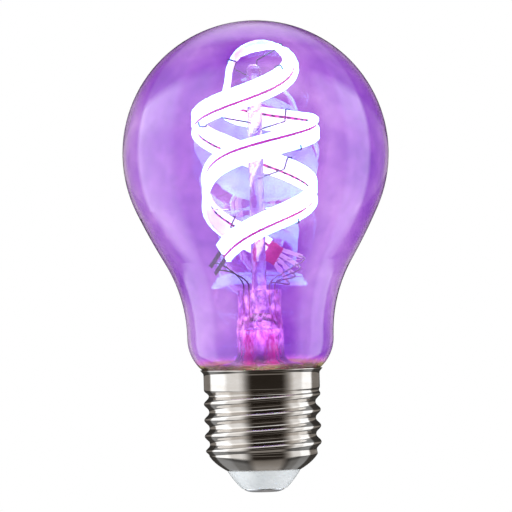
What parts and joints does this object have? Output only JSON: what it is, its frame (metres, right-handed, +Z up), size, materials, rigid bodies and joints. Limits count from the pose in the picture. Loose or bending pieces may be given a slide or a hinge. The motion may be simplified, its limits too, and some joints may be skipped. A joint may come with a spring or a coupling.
{
  "type": "led filament bulb",
  "caption": "Screw-cap lamp: a globe-shouldered clear glass bulb over a flexible LED filament wound as a double helix round a glass post, with a driver sealed in the cap.",
  "frame": {"origin": "middle of the centre contact's bottom face, on the lamp's axis", "axes": "+Z up along the lamp's axis from the cap to the bulb's crown; -Y is the side that the picture shows"},
  "size_m": [0.06, 0.06, 0.1063],
  "materials": {
    "cement": "baked basing cement",
    "black_mould": "moulded",
    "insulator_glass": "moulded",
    "nickel_contact": "nickel plate",
    "tinned_wire": "tinned",
    "circuit_board": "solder mask",
    "stem_glass": "clear",
    "phosphor": "silicone with phosphor, glowing",
    "filament_substrate": "flexible board",
    "resistor_coat": "coated",
    "bulb_glass": "clear, lustre tinted",
    "ferrite": "ferrite",
    "copper_wire": "enamelled copper",
    "sleeve": "glass-fibre sleeve",
    "dark_lead": "drawn wire",
    "bright_lead": "drawn wire",
    "chip": "bare chips",
    "dark_tab": "nickel tab",
    "bright_tab": "nickel tab",
    "nickel_plate": "bright nickel plate",
    "capacitor_sleeve": "shrink sleeve",
    "support_metal": "drawn wire",
    "shield_can": "tin plate"
  },
  "bodies": {
    "root": {"basing_cement": "cement", "bridge_rectifier": "black_mould", "cap_insulator": "insulator_glass", "centre_contact": "nickel_contact", "contact_wire": "tinned_wire", "driver_board": "circuit_board", "driver_chip": "black_mould", "exhaust_tube": "stem_glass", "filament_narrow_bead": "phosphor", "filament_substrate": "filament_substrate", "filament_wide_bead": "phosphor", "fusible_resistor": "resistor_coat", "glass_bulb": "bulb_glass", "glass_post": "stem_glass", "inductor_core": "ferrite", "inductor_winding": "copper_wire", "lead_sleeve_1": "sleeve", "lead_sleeve_2": "sleeve", "lead_sleeve_3": "sleeve", "lead_sleeve_4": "sleeve", "lead_sleeve_5": "sleeve", "lead_sleeve_6": "sleeve", "lead_wire_1": "dark_lead", "lead_wire_2": "dark_lead", "lead_wire_3": "bright_lead", "lead_wire_4": "bright_lead", "lead_wire_5": "bright_lead", "lead_wire_6": "bright_lead", "led_chips": "chip", "left_terminal_1": "dark_tab", "left_terminal_2": "dark_tab", "resistor_lead": "tinned_wire", "right_terminal_1": "bright_tab", "right_terminal_2": "bright_tab", "right_terminal_3": "bright_tab", "right_terminal_4": "bright_tab", "screw_shell": "nickel_plate", "shell_wire": "tinned_wire", "smoothing_capacitor": "capacitor_sleeve", "stem_flare": "stem_glass", "support_wire_1": "support_metal", "support_wire_2": "support_metal", "support_wire_3": "support_metal", "support_wire_4": "support_metal", "support_wire_5": "support_metal", "support_wire_6": "support_metal", "support_wire_7": "support_metal", "support_wire_8": "support_metal", "support_wire_9": "support_metal", "wireless_board": "circuit_board", "wireless_shield": "shield_can"}
  },
  "joints": []
}
